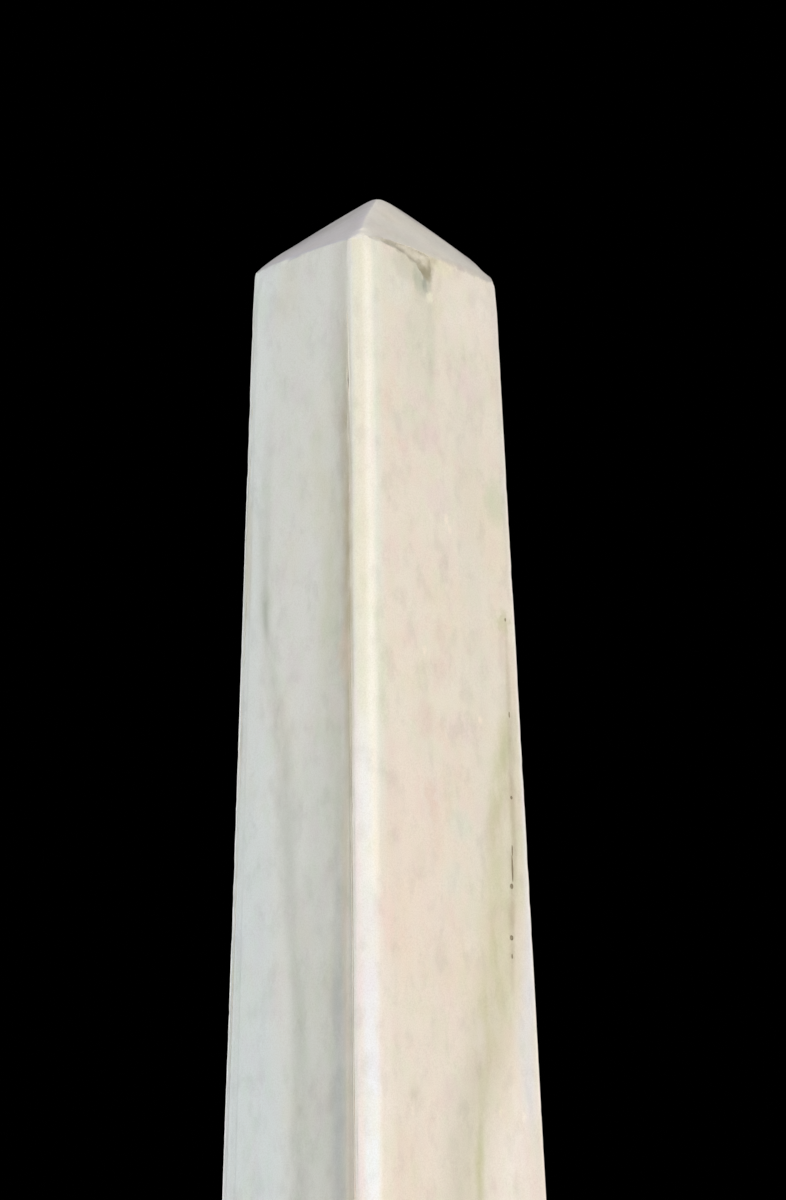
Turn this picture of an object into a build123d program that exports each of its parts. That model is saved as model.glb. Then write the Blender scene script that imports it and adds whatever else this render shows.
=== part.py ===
from build123d import *
import os

# A free-standing stone obelisk, modelled in millimetres.
# +Z is up, +X runs along the wide front face, and the front looks along -Y.
# The origin is at ground level, under the middle of the bottom step.
#
# From the ground up: a step of four kerb stones round a concrete heart, a
# base slab, a plinth, and a one-piece shaft that ends in a low point. The
# slab, the plinth and the shaft each stand on a thin bed of mortar, which is
# raked back from the faces.

# Shaft: one stone, oblong in plan, leaning in equally on all four sides.
shaft_top_width = 226.0      # along X, where the point begins
shaft_top_depth = 176.0      # along Y, where the point begins
shaft_height = 2150.0        # from the plinth joint to the start of the point
shaft_batter = 0.025         # how far a face leans in for each mm it rises
shaft_bevel = 16.5           # set back of the corner bevels along each face
point_height = 93.0          # the low pyramid above the shaft
shaft_edge = 5.0             # worn rounding of the shaft's edges
point_edge = 18.0            # worn rounding of the four ridges of the point

# Spall: a flake missing from the edge between the front face and the point.
spall_offset = -18.0         # middle of the flake along X
spall_radius = 45.0          # radius of the hollow it leaves
spall_depth = 8.0            # how far the hollow bites behind the edge

# Plinth, under the shaft.
plinth_margin = 65.0         # how far it stands out round the shaft's foot
plinth_height = 320.0
plinth_wash = 20.0           # fall of the sloping top
plinth_bevel = 20.0          # set back of its corner bevels
plinth_edge = 5.0            # worn rounding of its edges

# Base slab, under the plinth.
slab_margin = 90.0           # how far it stands out round the plinth
slab_height = 180.0
slab_wash = 16.0
slab_bevel = 24.0
slab_edge = 5.0

# Step: a course of four kerb stones at ground level.
step_margin = 150.0          # how far it stands out round the slab
step_height = 150.0
kerb_width = 235.0           # from the outside of the step to its concrete heart
kerb_edge = 8.0              # worn rounding of the step's outer edges

# Seats and mortar.
seat_margin = 10.0           # level strip round a stone that stands on another
bed_thickness = 6.0
bed_rake = 5.0               # how far the mortar lies behind the faces
kerb_gap = 6.0               # width of the upright joints between kerb stones

# Plan sizes, from the shaft's foot outwards.
shaft_lean = 2 * shaft_batter * shaft_height
shaft_foot_width = shaft_top_width + shaft_lean
shaft_foot_depth = shaft_top_depth + shaft_lean
plinth_width = shaft_foot_width + 2 * plinth_margin
plinth_depth = shaft_foot_depth + 2 * plinth_margin
slab_width = plinth_width + 2 * slab_margin
slab_depth = plinth_depth + 2 * slab_margin
step_width = slab_width + 2 * step_margin
step_depth = slab_depth + 2 * step_margin
heart_width = step_width - 2 * kerb_width
heart_depth = step_depth - 2 * kerb_width

# Levels, from the ground up.
slab_bed_z = step_height
slab_z = slab_bed_z + bed_thickness
plinth_bed_z = slab_z + slab_height
plinth_z = plinth_bed_z + bed_thickness
shaft_bed_z = plinth_z + plinth_height
shaft_z = shaft_bed_z + bed_thickness
point_z = shaft_z + shaft_height
tip_z = point_z + point_height


def bevelled_plan(width, depth, bevel, level):
    """An oblong with its four corners cut off, lying at the height level."""
    oblong = Rectangle(width, depth)
    return Pos(0, 0, level) * chamfer(oblong.vertices(), bevel)


def mortar_bed(width, depth, bevel, level):
    """A bed of mortar that lies behind the faces of the stone above it."""
    plan = offset(bevelled_plan(width, depth, bevel, 0), -bed_rake, kind=Kind.INTERSECTION)
    return Pos(0, 0, level) * extrude(plan, bed_thickness)


def washed_block(width, depth, height, bevel, edge, wash, seat, low):
    """A block with bevelled corners, whose top slopes up to a level seat.

    seat gives the width, depth and corner bevel of the stone that stands on it.
    """
    shoulder_z = low + height - wash
    sides = extrude(bevelled_plan(width, depth, bevel, low), height - wash)
    seat_width, seat_depth, seat_bevel = seat
    top = loft(
        [
            bevelled_plan(width, depth, bevel, shoulder_z).face(),
            bevelled_plan(
                seat_width + 2 * seat_margin,
                seat_depth + 2 * seat_margin,
                seat_bevel,
                low + height,
            ).face(),
        ],
        ruled=True,
    )
    block = sides + top
    worn = [e for e in block.edges() if low < e.center().Z <= shoulder_z + 0.001]
    return fillet(worn, edge)


def make_shaft():
    """The one-piece shaft with its bevelled corners, its low point and its spall."""
    full_height = shaft_height + point_height
    full_lean = 2 * shaft_batter * full_height
    foot = Pos(0, 0, shaft_z) * Rectangle(shaft_foot_width, shaft_foot_depth)
    head = Pos(0, 0, tip_z) * Rectangle(shaft_foot_width - full_lean, shaft_foot_depth - full_lean)
    body = loft([foot.face(), head.face()], ruled=True)
    corners = [e for e in body.edges() if e.bounding_box().size.Z > full_height / 2]
    body = chamfer(corners, shaft_bevel) & point_envelope()
    ridges = [
        e for e in body.edges()
        if e.center().Z > point_z and e.bounding_box().size.Z > point_height / 2
    ]
    body = fillet(ridges, point_edge)
    worn = [e for e in body.edges() if shaft_z + 1 < e.center().Z < point_z + shaft_bevel]
    return fillet(worn, shaft_edge) - spall()


def point_envelope():
    """A wide pyramid whose faces pass through the shaft's top edges and meet at its tip."""
    spread = (tip_z - shaft_z) / point_height
    foot = Pos(0, 0, shaft_z) * Rectangle(shaft_top_width * spread, shaft_top_depth * spread)
    return loft([foot.face(), Vertex(0, 0, tip_z)], ruled=True)


def spall():
    """A ball that bites out of the edge where the front face meets the point."""
    front_normal = Vector(0, -1, shaft_batter).normalized()
    point_normal = Vector(0, -point_height, shaft_top_depth / 2).normalized()
    outward = (front_normal + point_normal).normalized()
    edge = Vector(spall_offset, -shaft_top_depth / 2, point_z)
    return Pos(edge + outward * (spall_radius - spall_depth)) * Sphere(spall_radius)


def make_plinth():
    seat = (shaft_foot_width, shaft_foot_depth, shaft_bevel)
    return washed_block(
        plinth_width, plinth_depth, plinth_height,
        plinth_bevel, plinth_edge, plinth_wash, seat, plinth_z,
    )


def make_base_slab():
    seat = (plinth_width, plinth_depth, plinth_bevel)
    return washed_block(
        slab_width, slab_depth, slab_height,
        slab_bevel, slab_edge, slab_wash, seat, slab_z,
    )


def make_long_kerb(side):
    """The front (side = -1) or back (side = 1) kerb, which runs the step's whole width."""
    outer_y = side * step_depth / 2
    middle_y = side * (step_depth - kerb_width) / 2
    stone = Pos(0, middle_y, step_height / 2) * Box(step_width, kerb_width, step_height)
    corners = [
        e for e in stone.edges().filter_by(Axis.Z) if abs(e.center().Y - outer_y) < 1
    ]
    rim = [
        e for e in stone.edges()
        if abs(e.center().Z - step_height) < 1 and abs(e.center().Y) >= abs(middle_y) - 1
    ]
    return fillet(corners + rim, kerb_edge)


def make_short_kerb(side):
    """The left (side = -1) or right (side = 1) kerb, which fits between the long ones."""
    outer_x = side * step_width / 2
    middle_x = side * (step_width - kerb_width) / 2
    length = heart_depth - 2 * kerb_gap
    stone = Pos(middle_x, 0, step_height / 2) * Box(kerb_width, length, step_height)
    rim = [
        e for e in stone.edges().filter_by(Axis.Y)
        if abs(e.center().X - outer_x) < 1 and e.center().Z > step_height / 2
    ]
    return fillet(rim, kerb_edge)


def make_step_heart():
    """The concrete that fills the middle of the step, wholly under the base slab."""
    return Pos(0, 0, step_height / 2) * Box(heart_width, heart_depth, step_height)


def make_kerb_joints():
    """The four upright mortar joints at the ends of the short kerbs."""
    joint_length = kerb_width - bed_rake
    joint_height = step_height - bed_rake
    middle_x = (heart_width + joint_length) / 2
    middle_y = (heart_depth - kerb_gap) / 2
    joint = Box(joint_length, kerb_gap, joint_height)
    return Compound(children=[
        Pos(side_x * middle_x, side_y * middle_y, joint_height / 2) * joint
        for side_x in (-1, 1)
        for side_y in (-1, 1)
    ])


nodes = {
    "front_kerb": make_long_kerb(-1),
    "back_kerb": make_long_kerb(1),
    "left_kerb": make_short_kerb(-1),
    "right_kerb": make_short_kerb(1),
    "kerb_joints": make_kerb_joints(),
    "step_heart": make_step_heart(),
    "slab_bed": mortar_bed(slab_width, slab_depth, slab_bevel, slab_bed_z),
    "base_slab": make_base_slab(),
    "plinth_bed": mortar_bed(plinth_width, plinth_depth, plinth_bevel, plinth_bed_z),
    "plinth": make_plinth(),
    "shaft_bed": mortar_bed(shaft_foot_width, shaft_foot_depth, shaft_bevel, shaft_bed_z),
    "shaft": make_shaft(),
}

os.makedirs("parts", exist_ok=True)
for name, shape in nodes.items():
    export_step(shape, f"parts/{name}.step")
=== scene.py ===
import math

import bmesh
import bpy
from mathutils import Matrix, Vector


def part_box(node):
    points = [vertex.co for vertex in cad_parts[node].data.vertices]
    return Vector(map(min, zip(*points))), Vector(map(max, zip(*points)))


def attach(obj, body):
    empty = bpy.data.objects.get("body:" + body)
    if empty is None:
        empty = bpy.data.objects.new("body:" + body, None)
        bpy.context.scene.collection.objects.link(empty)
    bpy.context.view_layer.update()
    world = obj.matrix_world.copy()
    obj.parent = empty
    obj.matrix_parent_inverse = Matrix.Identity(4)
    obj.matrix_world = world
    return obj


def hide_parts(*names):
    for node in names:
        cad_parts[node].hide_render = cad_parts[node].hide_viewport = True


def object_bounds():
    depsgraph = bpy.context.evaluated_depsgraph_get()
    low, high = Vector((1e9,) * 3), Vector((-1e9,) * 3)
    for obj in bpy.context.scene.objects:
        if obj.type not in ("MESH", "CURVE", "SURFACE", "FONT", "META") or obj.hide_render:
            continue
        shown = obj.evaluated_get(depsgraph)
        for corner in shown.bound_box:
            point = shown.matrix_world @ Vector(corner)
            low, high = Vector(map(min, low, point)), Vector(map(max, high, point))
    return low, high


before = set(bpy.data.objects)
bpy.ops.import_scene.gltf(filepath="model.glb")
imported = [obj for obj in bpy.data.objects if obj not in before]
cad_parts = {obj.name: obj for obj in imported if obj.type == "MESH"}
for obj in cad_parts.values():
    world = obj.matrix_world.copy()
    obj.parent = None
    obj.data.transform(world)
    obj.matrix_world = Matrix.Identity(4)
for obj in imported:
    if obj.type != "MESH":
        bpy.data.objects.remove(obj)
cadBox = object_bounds()
print("frame loaded")


# modelling helpers

def clearSelection():
    if bpy.context.object and bpy.context.object.mode != "OBJECT":
        bpy.ops.object.mode_set(mode="OBJECT")
    bpy.ops.object.select_all(action="DESELECT")


def makeActive(piece):
    clearSelection()
    piece.select_set(True)
    bpy.context.view_layer.objects.active = piece


def pick(piece, kind, wanted):  # in edit mode: selects the faces, edges or vertices that pass the test
    bpy.ops.mesh.select_mode(type=kind)
    mesh = bmesh.from_edit_mesh(piece.data)
    for part in [*mesh.faces, *mesh.edges, *mesh.verts]:
        part.select_set(False)
    for part in {"FACE": mesh.faces, "EDGE": mesh.edges, "VERT": mesh.verts}[kind]:
        if wanted(part):
            part.select_set(True)
    bmesh.update_edit_mesh(piece.data)


def isUpright(edge):
    return abs((edge.verts[1].co - edge.verts[0].co).normalized().z) > 0.9


def looksUp(face):
    return face.normal.z > 0.5


def addBlock(name, low, high):
    clearSelection()
    bpy.ops.mesh.primitive_cube_add(size=1, location=(Vector(low) + Vector(high)) / 2)
    block = bpy.context.object
    block.name = block.data.name = name
    block.scale = Vector(high) - Vector(low)
    bpy.ops.object.transform_apply(location=True, rotation=False, scale=True)
    return block


def applyModifier(piece, kind, **values):
    makeActive(piece)
    modifier = piece.modifiers.new(kind.title(), kind)
    for key, value in values.items():
        setattr(modifier, key, value)
    bpy.ops.object.modifier_apply(modifier=modifier.name)


def cloudTexture(name, size, depth, bite=None):
    texture = bpy.data.textures.new(name, "CLOUDS")
    texture.noise_scale = size
    texture.noise_depth = depth
    if bite:  # low values stay flat, high ones bite
        texture.use_color_ramp = True
        ends = texture.color_ramp.elements
        ends[0].position, ends[0].color = bite[0], (0, 0, 0, 1)
        ends[1].position, ends[1].color = bite[1], (1, 1, 1, 1)
    return texture


def soften(piece, steps, group=""):  # worn round, all over or within a vertex group
    applyModifier(piece, "SMOOTH", factor=0.5, iterations=steps, vertex_group=group)


def roughen(piece, look):  # uneven faces, and nicks where the texture bites near the edges
    waves = cloudTexture(piece.name + "Waves", look["waveSize"], 2)
    applyModifier(piece, "DISPLACE", texture=waves, strength=look["waveDepth"], mid_level=0.5,
                  texture_coords="LOCAL")
    nicks = cloudTexture(piece.name + "Nicks", look["nickSize"], 3, bite=look["nickBite"])
    applyModifier(piece, "DISPLACE", texture=nicks, strength=-look["nickDepth"], mid_level=0,
                  texture_coords="LOCAL", vertex_group="edges")


# material helpers

def rgb(red, green, blue):  # a screen colour, 0 to 255, as the shader wants it
    def straight(value):
        value /= 255
        return value / 12.92 if value <= 0.04045 else ((value + 0.055) / 1.055) ** 2.4
    return (straight(red), straight(green), straight(blue), 1)


def addNode(tree, kind, values=None, **settings):
    made = tree.nodes.new("ShaderNode" + kind)
    for key, value in settings.items():
        setattr(made, key, value)
    for key, value in (values or {}).items():
        if isinstance(value, bpy.types.NodeSocket):
            tree.links.new(value, made.inputs[key])
        else:
            made.inputs[key].default_value = value
    return made


def sums(tree, operation, first, second=0.0):
    return addNode(tree, "Math", {0: first, 1: second}, operation=operation).outputs[0]


def fade(tree, value, start, end, low=0.0, high=1.0):  # low at start, high at end
    node = addNode(tree, "MapRange", {"Value": value, "From Min": start, "From Max": end,
                                      "To Min": low, "To Max": high}, interpolation_type="SMOOTHSTEP")
    return node.outputs[0]


def blend(tree, amount, under, over, how="MIX"):
    node = addNode(tree, "Mix", {0: amount, 6: under, 7: over}, data_type="RGBA", blend_type=how)
    return node.outputs[2]


grains = {  # scale, upright stretch, detail, roughness, shift
    "clouds": (7, 0.45, 4, 0.55, 0),
    "rosy": (34, 1, 3, 0.55, 7),
    "run": (26, 0.07, 4, 0.55, 13),
    "greenish": (42, 0.6, 4, 0.55, 41),
    "mauvish": (36, 0.6, 4, 0.55, 53),
    "warmish": (15, 0.6, 4, 0.55, 67),
    "greyish": (56, 0.6, 4, 0.55, 83),
    "grime": (18, 1, 5, 0.55, 21),
    "splash": (9, 1, 5, 0.55, 17),
    "algae": (11, 0.5, 5, 0.55, 23),
    "speck": (700, 1, 2, 0.7, 0),
    "polish": (90, 1, 3, 0.55, 31),
    "fine": (1100, 1, 2, 0.6, 0),
    "ripple": (130, 1, 3, 0.55, 5),
    "wander": (30, 0.3, 4, 0.55, 0),    # of a streak's path
    "patchy": (60, 0.35, 4, 0.55, 3),   # along a streak
    "flutter": (110, 1, 3, 0.55, 9),    # of a spot's outline
    "ruffle": (140, 1, 4, 0.55, 19),    # of a blob's outline
    "broken": (170, 1, 4, 0.65, 2),
    "chipped": (420, 1, 4, 0.65, 0),
    "sand": (420, 1, 3, 0.7, 0),
    "stain": (24, 1, 4, 0.55, 4),
    "pebbly": (300, 1, 4, 0.7, 8),
}


def grain(tree, place, name):
    scale, upright, detail, rough, shift = grains[name]
    moved = addNode(tree, "Mapping", {"Vector": place, "Location": (shift, shift, shift),
                                      "Scale": (1, 1, upright)})
    node = addNode(tree, "TexNoise", {"Vector": moved.outputs[0], "Scale": scale,
                                      "Detail": detail, "Roughness": rough})
    return node.outputs[0]


def patches(tree, place, name, start, end, low=0.0, high=1.0):  # low where a grain is thin
    return fade(tree, grain(tree, place, name), start, end, low, high)


def facing(tree, way, start, end):  # 1 where the surface looks the given way
    surface = addNode(tree, "NewGeometry").outputs["Normal"]
    turned = addNode(tree, "VectorMath", {0: surface, 1: way}, operation="DOT_PRODUCT")
    return fade(tree, turned.outputs["Value"], start, end)


ways = {  # the way each side of the shaft looks
    "front": (0, -1, 0), "back": (0, 1, 0), "left": (-1, 0, 0), "right": (1, 0, 0),
    "corner": (-0.7071, -0.7071, 0), "farCorner": (0.7071, -0.7071, 0), "top": (0, 0, 1),
    "leftSlope": (-0.635, 0, 0.772), "rightSlope": (0.635, 0, 0.772),
    "frontSlope": (0, -0.7264, 0.6873), "backSlope": (0, 0.726, 0.687),
}
wallFacing, slopeFacing = (0.80, 0.985), (0.86, 0.93)  # how squarely a mark's surface looks that way
streakReach, streakWidest = 0.2, 0.1    # a streak's path and half width stay below these
plainStreak = {"soft": 1, "wander": 0.012, "patchy": 0.3}  # a streak, unless it says otherwise
blobRim, blobHeart = 1.15, 0.35         # a blob fades in between these, in half sizes
sideCache = {}


def streak(tree, across, height, path, soft):
    # path: points of (height, across, half width, strength), from the top down
    top, bottom = path[0][0], path[-1][0]
    run = addNode(tree, "MapRange", {"Value": height, "From Min": bottom, "From Max": top})
    curves = addNode(tree, "RGBCurve", {"Color": run.outputs[0]})
    for channel in range(3):
        points = curves.mapping.curves[channel].points
        for number, (z, centre, half, strength) in enumerate(reversed(path)):
            spot = ((z - bottom) / (top - bottom),
                    (0.5 + centre / streakReach / 2, half / streakWidest, strength)[channel])
            if number in (0, len(path) - 1):
                points[0 if number == 0 else -1].location = spot
            else:
                points.new(*spot)
        for point in points:
            point.handle_type = "AUTO_CLAMPED"
    curves.mapping.update()
    centre, half, strength = addNode(tree, "SeparateColor", {0: curves.outputs[0]}).outputs
    centre = sums(tree, "MULTIPLY", sums(tree, "SUBTRACT", centre, 0.5), 2 * streakReach)
    half = sums(tree, "MAXIMUM", sums(tree, "MULTIPLY", half, streakWidest), 0.0001)
    away = sums(tree, "DIVIDE", sums(tree, "ABSOLUTE", sums(tree, "SUBTRACT", across, centre)), half)
    return sums(tree, "MULTIPLY", fade(tree, away, 1, 1 - soft), strength)


def sideOf(tree, place, side):  # the coordinate across a side, the height, and a mask of that side
    if side not in sideCache:
        x, y, z = addNode(tree, "SeparateXYZ", {0: place}).outputs
        if side == "corner":
            across = sums(tree, "MULTIPLY", sums(tree, "SUBTRACT", x, y), math.sqrt(0.5))
        else:
            across = x if side in ("front", "back", "frontSlope") else y
        squarely = slopeFacing if side.endswith("Slope") else wallFacing
        sideCache[side] = across, z, facing(tree, ways[side], *squarely)
    return sideCache[side]


def addMarks(tree, colour, place, marks):
    sideCache.clear()
    wander = sums(tree, "SUBTRACT", grain(tree, place, "wander"), 0.5)
    flutter = sums(tree, "SUBTRACT", grain(tree, place, "flutter"), 0.5)
    patchy = patches(tree, place, "patchy", 0.3, 0.62)
    # painted shade: each side is darkened by the way it faces
    for side, start, end, tint in marks["shadeBySide"]:
        colour = blend(tree, facing(tree, ways[side], start, end), colour, rgb(*tint), "MULTIPLY")
    for mark in marks["streaks"]:
        mark = dict(plainStreak, **mark)
        across, z, mask = sideOf(tree, place, mark["side"])
        across = sums(tree, "ADD", across, sums(tree, "MULTIPLY", wander, mark["wander"]))
        amount = sums(tree, "MULTIPLY", streak(tree, across, z, mark["path"], mark["soft"]), mask)
        amount = sums(tree, "MULTIPLY", amount, fade(tree, patchy, 0, 1, 1 - mark["patchy"], 1))
        colour = blend(tree, amount, colour, rgb(*mark["colour"]))
    for side, acrossAt, heightAt, halfWidth, halfHeight, tint, strength in marks["spots"]:
        across, z, mask = sideOf(tree, place, side)
        sway = min(halfWidth, 0.01) * 2  # of its outline
        level = sums(tree, "DIVIDE", sums(tree, "ADD", sums(tree, "SUBTRACT", across, acrossAt),
                                          sums(tree, "MULTIPLY", flutter, sway)), halfWidth)
        up = sums(tree, "DIVIDE", sums(tree, "SUBTRACT", z, heightAt), halfHeight)
        away = sums(tree, "ADD", sums(tree, "MULTIPLY", level, level), sums(tree, "MULTIPLY", up, up))
        amount = sums(tree, "MULTIPLY", fade(tree, away, 1, 0, 0, strength), mask)
        colour = blend(tree, amount, colour, rgb(*tint))
    return colour


def addBlobs(tree, colour, place, blobs):  # soft patches that lie about a point, on any surface
    ruffle = sums(tree, "SUBTRACT", grain(tree, place, "ruffle"), 0.5)
    for centre, halves, tint, strength in blobs:
        off = addNode(tree, "VectorMath", {0: place, 1: centre}, operation="SUBTRACT").outputs[0]
        off = addNode(tree, "VectorMath", {0: off, 1: halves}, operation="DIVIDE").outputs[0]
        away = addNode(tree, "VectorMath", {0: off}, operation="LENGTH").outputs["Value"]
        amount = fade(tree, sums(tree, "ADD", away, ruffle), blobRim, blobHeart, 0, strength)
        colour = blend(tree, amount, colour, rgb(*tint))
    return colour


def newMaterial(name):
    material = bpy.data.materials.new(name)
    material.use_nodes = True
    tree = material.node_tree
    shader = tree.nodes["Principled BSDF"]
    place = addNode(tree, "TexCoord").outputs["Object"]
    return material, tree, shader, place


def addBump(tree, shader, height, strength, depth):
    bump = addNode(tree, "Bump", {"Height": height, "Strength": strength, "Distance": depth})
    tree.links.new(bump.outputs[0], shader.inputs["Normal"])


def stoneSkin(name, look, marks=None):
    material, tree, shader, place = newMaterial(name)
    z = addNode(tree, "SeparateXYZ", {0: place}).outputs[2]
    clouds = patches(tree, place, "clouds", 0.38, 0.64)
    colour = blend(tree, clouds, rgb(*look["cream"]), rgb(*look["peach"]))
    rosy = patches(tree, place, "rosy", 0.5, 0.75, 0, look["rosyAmount"])
    colour = blend(tree, rosy, colour, rgb(*look["rosy"]))
    runs = patches(tree, place, "run", 0.5, 0.72, 0, look["runAmount"])
    colour = blend(tree, runs, colour, rgb(*look["run"]))
    # painted shade: the left side turns bluish-grey by the way it faces
    leftShade = sums(tree, "MULTIPLY", facing(tree, ways["left"], 0.5, 0.95), look["leftShadeAmount"])
    colour = blend(tree, leftShade, colour, rgb(*look["leftShade"]))
    if marks:
        colour = addMarks(tree, colour, place, marks)
        colour = addBlobs(tree, colour, place, marks["blobs"])
    for mottle in ("greenish", "mauvish", "warmish", "greyish"):
        amount = patches(tree, place, mottle, 0.48, 0.7)
        colour = blend(tree, amount, colour, rgb(*look[mottle]), "MULTIPLY")
    above = facing(tree, ways["top"], 0.2, 0.75)
    grime = patches(tree, place, "grime", 0.2, 0.65, 0.35)
    grime = sums(tree, "MULTIPLY", sums(tree, "MULTIPLY", grime, above), look["grimeAmount"])
    colour = blend(tree, grime, colour, rgb(*look["grime"]))
    if look.get("splash"):  # dirt thrown up from the ground, and green in the damp
        dirty = sums(tree, "MULTIPLY", grain(tree, place, "splash"), look["splashUneven"])
        dirty = sums(tree, "ADD", z, dirty)
        dirty = fade(tree, dirty, *look["splashZone"], 0, look["splashAmount"])
        colour = blend(tree, dirty, colour, rgb(*look["splash"]), "MULTIPLY")
        damp = patches(tree, place, "algae", 0.45, 0.72)
        damp = sums(tree, "MULTIPLY", damp, fade(tree, z, *look["algaeZone"], 0, look["algaeAmount"]))
        colour = blend(tree, damp, colour, rgb(*look["algae"]), "MULTIPLY")
    speck = patches(tree, place, "speck", 0.35, 0.7, 0, look["speckAmount"])
    colour = blend(tree, speck, colour, rgb(*look["speck"]), "MULTIPLY")
    tree.links.new(colour, shader.inputs["Base Color"])
    dull = patches(tree, place, "polish", 0.3, 0.7, *look["roughness"])
    tree.links.new(dull, shader.inputs["Roughness"])
    fine = sums(tree, "MULTIPLY", grain(tree, place, "fine"), look["fineShare"])
    height = sums(tree, "ADD", fine, grain(tree, place, "ripple"))
    addBump(tree, shader, height, *look["bump"])
    return material


def brokenSkin(name, look, blobs=()):
    material, tree, shader, place = newMaterial(name)
    mottled = patches(tree, place, "broken", 0.35, 0.65)
    colour = blend(tree, mottled, rgb(*look["dark"]), rgb(*look["pale"]))
    colour = addBlobs(tree, colour, place, blobs)
    tree.links.new(colour, shader.inputs["Base Color"])
    shader.inputs["Roughness"].default_value = look["roughness"]
    addBump(tree, shader, grain(tree, place, "chipped"), *look["bump"])
    return material


def mortarSkin(name, look):
    material, tree, shader, place = newMaterial(name)
    sand = patches(tree, place, "sand", 0.3, 0.7)
    colour = blend(tree, sand, rgb(*look["dark"]), rgb(*look["light"]))
    stain = patches(tree, place, "stain", 0.4, 0.7, 0, look["stainAmount"])
    colour = blend(tree, stain, colour, rgb(*look["stain"]))
    tree.links.new(colour, shader.inputs["Base Color"])
    shader.inputs["Roughness"].default_value = look["roughness"]
    addBump(tree, shader, grain(tree, place, "pebbly"), *look["bump"])
    return material


# shaft

shaft = {
    "height": 2.150,        # from the foot to the start of the point
    "pointHeight": 0.093,
    "batter": 0.025,
    "cornerBevel": 0.0165,
    "edgeRound": 0.0055,    # how far the rounding runs in from an upright edge
    "rows": 19,             # cuts along the height, made twice over
    "longEdge": 0.02,       # in edges longer than this
    "strips": 28,           # across each face
    "rimCuts": (0.0033, 0.0066, 0.0100, 0.0133, 0.0166),  # level cuts, above the start of the point
    "headDepth": 0.030,     # the stone is cut finer from here up
    "wornSteps": 34,        # how long the point is worn
    "shoulderSteps": 90,    # and its four shoulders
    "tipWorn": (0.040, 2, 1),           # reach of the wear, how fast it grows, and its most
    "hipWorn": (0.026, 1.8, 1),         # the four ridges
    "rimWorn": (0.014, 1.2, 0.55),      # the edge all round
    "shoulderWorn": (0.036, 1.8, 1),
    "cornerKept": 0.35,     # the corner between front and left is worn this much only
    "waveSize": 0.26,
    "waveDepth": 0.0010,
    "nickSize": 0.022,
    "nickDepth": 0.0014,
    "nickBite": (0.56, 0.80),
    "nickNear": 0.007,      # nicks stay this near to an edge
    "bevelNear": 0.006,     # a corner bevel's edge lies this near to the next face
    "unevenCore": 0.012,    # what lies this near to such a place goes with it
    "uneven": [             # where the point isn't quite true, how far it is off, how far that reaches
        ((0.0, 0.0, 2.905), (0.0025, -0.0025, 0.0), 0.085),
        ((0.050, -0.040, 2.868), (0, 0, 0.0024), 0.08),
        ((0.105, -0.080, 2.822), (0, 0, -0.0022), 0.08),
        ((-0.055, 0.043, 2.862), (0, 0, -0.0008), 0.06),
        ((-0.055, -0.087, 2.819), (0, 0, 0.0012), 0.05),
        ((-0.100, 0.080, 2.822), (0, 0, -0.0030), 0.11),
    ],
}

hair = 0.001  # slack, where places are compared


def cutPoint(pointZ, tipZ, topWidth, topDepth):
    rising = tipZ - pointZ
    bpy.ops.mesh.extrude_region_move(TRANSFORM_OT_translate={"value": (0, 0, rising)})
    shrink = 2 * shaft["batter"] * rising
    bpy.ops.transform.resize(value=(1 - shrink / topWidth, 1 - shrink / topDepth, 1))
    for side in (Vector((1, 0, 0)), Vector((-1, 0, 0)), Vector((0, 1, 0)), Vector((0, -1, 0))):
        reach = topWidth / 2 if side.x else topDepth / 2
        slope = (side * rising + Vector((0, 0, reach))).normalized()
        bpy.ops.mesh.select_all(action="SELECT")
        bpy.ops.mesh.bisect(plane_co=(0, 0, tipZ), plane_no=slope, clear_outer=True, use_fill=True)


def cutStrips(pointZ, topWidth, topDepth):  # upright cuts fan out as the faces do, and meet on the hips
    narrow = topDepth / topWidth
    alongX, alongY = Vector((1, 0, 0)), Vector((0, 1, 0))
    for number in range(1, shaft["strips"]):
        part = 2 * number / shaft["strips"] - 1
        for axis, width, lean in ((alongX, topWidth, 1), (alongY, topDepth, narrow)):
            if (1 - abs(part)) * width / 2 > shaft["cornerBevel"] + hair:
                bpy.ops.mesh.select_all(action="SELECT")
                bpy.ops.mesh.bisect(plane_co=axis * (part * width / 2) + Vector((0, 0, pointZ)),
                                    plane_no=axis + Vector((0, 0, part * shaft["batter"] * lean)))
    for above in shaft["rimCuts"]:
        bpy.ops.mesh.select_all(action="SELECT")
        bpy.ops.mesh.bisect(plane_co=(0, 0, pointZ + above), plane_no=(0, 0, 1))


def wearAt(distance, zone):
    reach, growth, most = zone
    return max(0, min(most, growth * (1 - distance / reach)))


def softness(spot, pointZ, tipZ, topWidth, topDepth):  # how worn the point and its shoulders are there
    x, y, z = abs(spot.x), abs(spot.y), spot.z
    inset = shaft["cornerBevel"] / 2
    shoulder = Vector((topWidth / 2 - inset, topDepth / 2 - inset, pointZ))
    toTip = (spot - Vector((0, 0, tipZ))).length
    offHip = abs(x * topDepth - y * topWidth) / math.hypot(topWidth, topDepth)
    toHip = offHip if z > pointZ + hair else 1
    toShoulder = (Vector((x, y, z)) - shoulder).length
    kept = shaft["cornerKept"] if spot.x < 0 and spot.y < 0 else 1
    return (max(wearAt(toTip, shaft["tipWorn"]), wearAt(toHip, shaft["hipWorn"]),
                wearAt(abs(z - pointZ), shaft["rimWorn"])),
            wearAt(toShoulder, shaft["shoulderWorn"]) * kept)


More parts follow.
